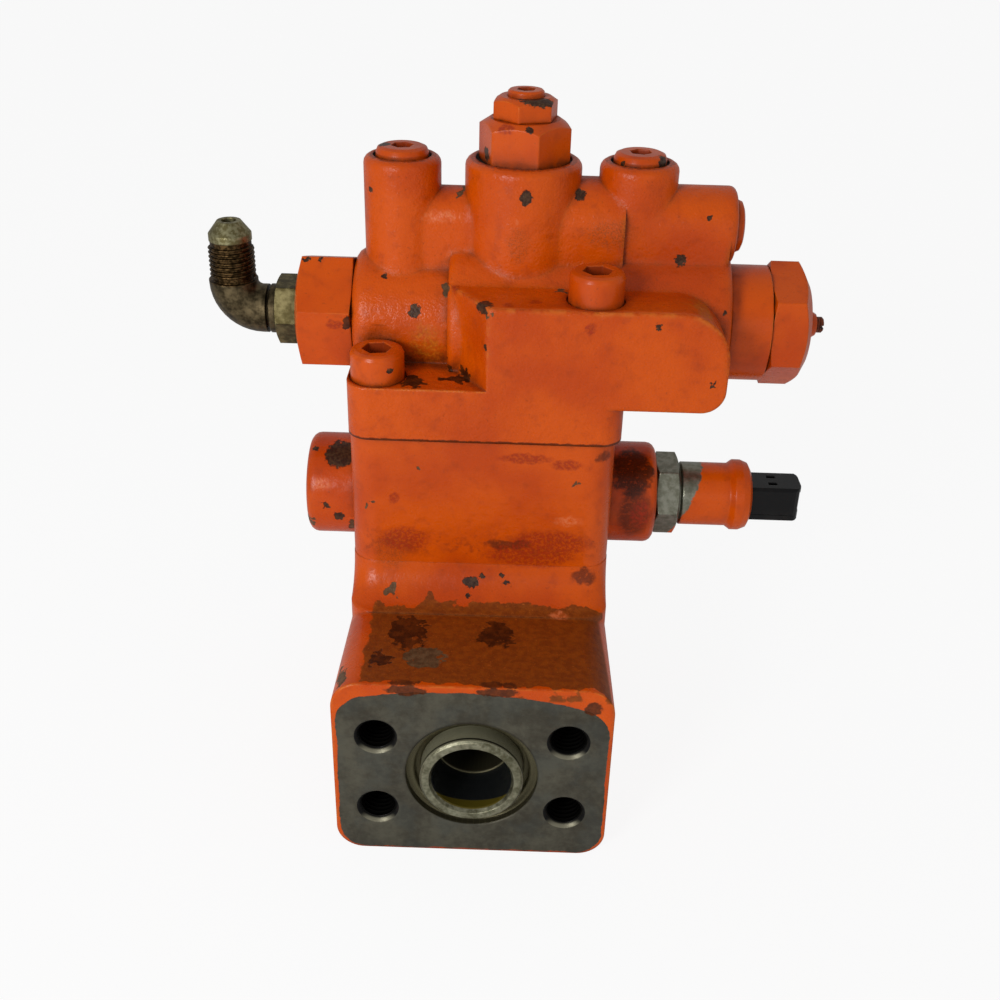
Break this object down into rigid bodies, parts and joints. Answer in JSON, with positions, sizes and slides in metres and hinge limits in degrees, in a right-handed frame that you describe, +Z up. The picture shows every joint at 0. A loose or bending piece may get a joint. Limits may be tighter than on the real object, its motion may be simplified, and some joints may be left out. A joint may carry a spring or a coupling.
{
  "type": "hose rupture valve",
  "caption": "Hydraulic hose rupture valve: flanged lower block, bolted upper casting with poppet bore, relief cartridge, pilot elbow and pressure sensor.",
  "frame": {"origin": "centre of the hose port, on the front flange face", "axes": "+X to the right seen from the hose flange, +Y from the flange face into the block, +Z up, along the adjusting screw"},
  "size_m": [0.1943, 0.1268, 0.2138],
  "materials": {
    "orange_paint": "gloss enamel over casting texture",
    "zinc_steel": "dull zinc plating, stained",
    "dark_steel": "blackened, oily",
    "bright_steel": "machined bright",
    "spring_steel": "drawn wire",
    "black_plastic": "moulded, fine grain",
    "seal_rubber": "smooth",
    "tinned_brass": "tinned"
  },
  "bodies": {
    "housing": {"lower_block": "orange_paint", "port_sleeve": "bright_steel", "interface_seals": "seal_rubber", "upper_block": "orange_paint", "block_cap_screws": "orange_paint", "poppet_seat": "bright_steel", "main_spring": "spring_steel", "spring_cap": "orange_paint", "spring_cap_seal": "seal_rubber", "pilot_adapter": "orange_paint", "pilot_adapter_seal": "seal_rubber", "pilot_return_spring": "spring_steel", "pilot_elbow": "zinc_steel", "elbow_locknut": "dark_steel", "elbow_seal": "seal_rubber", "relief_cartridge": "orange_paint", "relief_cartridge_seal": "seal_rubber", "relief_spring": "spring_steel", "left_gallery_plug": "orange_paint", "right_gallery_plug": "orange_paint", "end_gallery_plug": "orange_paint", "gallery_plug_seals": "seal_rubber", "test_port_plug": "orange_paint", "test_port_plug_seal": "seal_rubber", "pressure_sensor": "zinc_steel", "sensor_seal": "seal_rubber", "sensor_connector": "black_plastic", "sensor_pins": "tinned_brass"},
    "main_poppet": {"main_poppet": "bright_steel"},
    "pilot_piston": {"pilot_piston": "bright_steel"},
    "relief_poppet": {"relief_poppet": "bright_steel"},
    "relief_spring_seat": {"relief_spring_seat": "bright_steel"},
    "adjusting_screw": {"adjusting_screw": "orange_paint"},
    "jam_nut": {"jam_nut": "orange_paint"},
    "bleed_screw": {"bleed_screw": "zinc_steel"}
  },
  "joints": [
    {"name": "pilot_piston_slide", "type": "slide", "parent": "housing", "child": "pilot_piston", "axis": [1, 0, 0], "range_m": [0, 0.006], "stiffness_N_per_m": 1500, "springref_m": -0.004, "deforming": ["pilot_return_spring"]},
    {"name": "main_poppet_slide", "type": "slide", "parent": "housing", "child": "main_poppet", "axis": [1, 0, 0], "range_m": [0, 0.006], "stiffness_N_per_m": 4000, "springref_m": -0.004, "deforming": ["main_spring"]},
    {"name": "relief_poppet_slide", "type": "slide", "parent": "housing", "child": "relief_poppet", "axis": [0, 0, 1], "range_m": [0, 0.0015], "stiffness_N_per_m": 8000, "springref_m": -0.003, "deforming": ["relief_spring"]},
    {"name": "relief_spring_seat_slide", "type": "slide", "parent": "housing", "child": "relief_spring_seat", "axis": [0, 0, 1], "range_m": [-0.0015, 0.0015], "deforming": ["relief_spring"]},
    {"name": "adjusting_screw_turn", "type": "hinge", "parent": "relief_spring_seat", "child": "adjusting_screw", "pos_m": [0.0099, 0.0865, 0.172], "axis": [0, 0, 1], "range_deg": [-364, 364]},
    {"name": "jam_nut_turn", "type": "hinge", "parent": "housing", "child": "jam_nut", "pos_m": [0.0099, 0.0865, 0.177], "axis": [0, 0, 1], "range_deg": [0, 180]},
    {"name": "bleed_screw_turn", "type": "hinge", "parent": "housing", "child": "bleed_screw", "pos_m": [0.1, 0.0865, 0.1139], "axis": [1, 0, 0], "range_deg": [-360, 0]}
  ],
  "couplings": [
    {"joint": "main_poppet_slide", "follows": "pilot_piston_slide", "ratio": 1},
    {"joint": "adjusting_screw_turn", "follows": "relief_spring_seat_slide", "rad_per_m": 4188.8}
  ]
}
